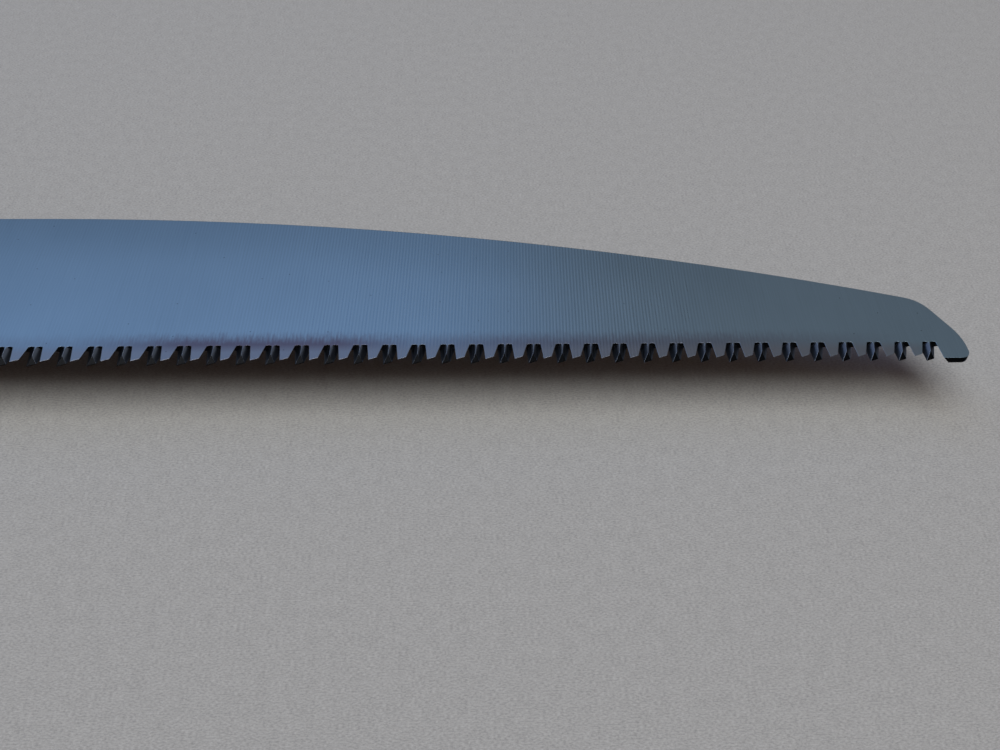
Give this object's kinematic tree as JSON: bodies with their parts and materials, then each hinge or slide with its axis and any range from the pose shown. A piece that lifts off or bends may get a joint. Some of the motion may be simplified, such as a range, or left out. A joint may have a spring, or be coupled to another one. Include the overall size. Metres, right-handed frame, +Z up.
{
  "type": "folding saw",
  "caption": "Folding pull saw with a ground alternate-bevel blade on a pivot bolt, a back lever lock with a thumb pad, a plated frame, moulded scales and a hanging loop.",
  "frame": {"origin": "under the middle of the open saw's box, on the surface it lies on", "axes": "+X along the tooth line towards the nose of the blade, +Y towards the back of the blade, +Z up from the surface"},
  "size_m": [0.416, 0.044, 0.023],
  "materials": {
    "blade_steel": "cross-ground, dark satin",
    "frame_steel": "satin",
    "fastener_steel": "plain turned",
    "bronze": "turned",
    "nylon": "moulded",
    "moulded_grip": "fine moulded grain",
    "soft_grip": "matt",
    "thumb_pad_plastic": "moulded"
  },
  "bodies": {
    "handle": {"liner_left": "frame_steel", "liner_right": "frame_steel", "spine_spacer": "nylon", "spine_rivet_front": "fastener_steel", "spine_rivet_rear": "fastener_steel", "pivot_bolt": "fastener_steel", "pivot_nut": "fastener_steel", "pivot_spring_washer": "fastener_steel", "pivot_bush": "bronze", "pivot_washer_left": "bronze", "pivot_washer_right": "bronze", "open_stop_pin": "fastener_steel", "closed_stop_pin": "fastener_steel", "lever_pin": "fastener_steel", "lock_spring": "fastener_steel", "grip_left": "moulded_grip", "grip_right": "moulded_grip", "grip_pad_left": "soft_grip", "grip_pad_right": "soft_grip", "handle_screw_front": "fastener_steel", "handle_screw_middle": "fastener_steel", "handle_screw_rear": "fastener_steel", "handle_nut_front": "fastener_steel", "handle_nut_middle": "fastener_steel", "handle_nut_rear": "fastener_steel", "end_loop": "moulded_grip"},
    "blade": {"blade": "blade_steel"},
    "lever": {"lock_lever": "frame_steel", "thumb_pad": "thumb_pad_plastic"}
  },
  "joints": [
    {"name": "blade_fold", "type": "hinge", "parent": "handle", "child": "blade", "pos_m": [0.01347, -0.00611, 0.0115], "axis": [0, 0, -1], "range_deg": [0, 178]},
    {"name": "lock_lever", "type": "hinge", "parent": "handle", "child": "lever", "pos_m": [-0.01453, 0.01384, 0.0115], "axis": [0, 0, -1], "range_deg": [0, 6], "stiffness_Nm_per_rad": 0.06, "springref_deg": 68.75, "deforming": ["lock_spring"]}
  ]
}
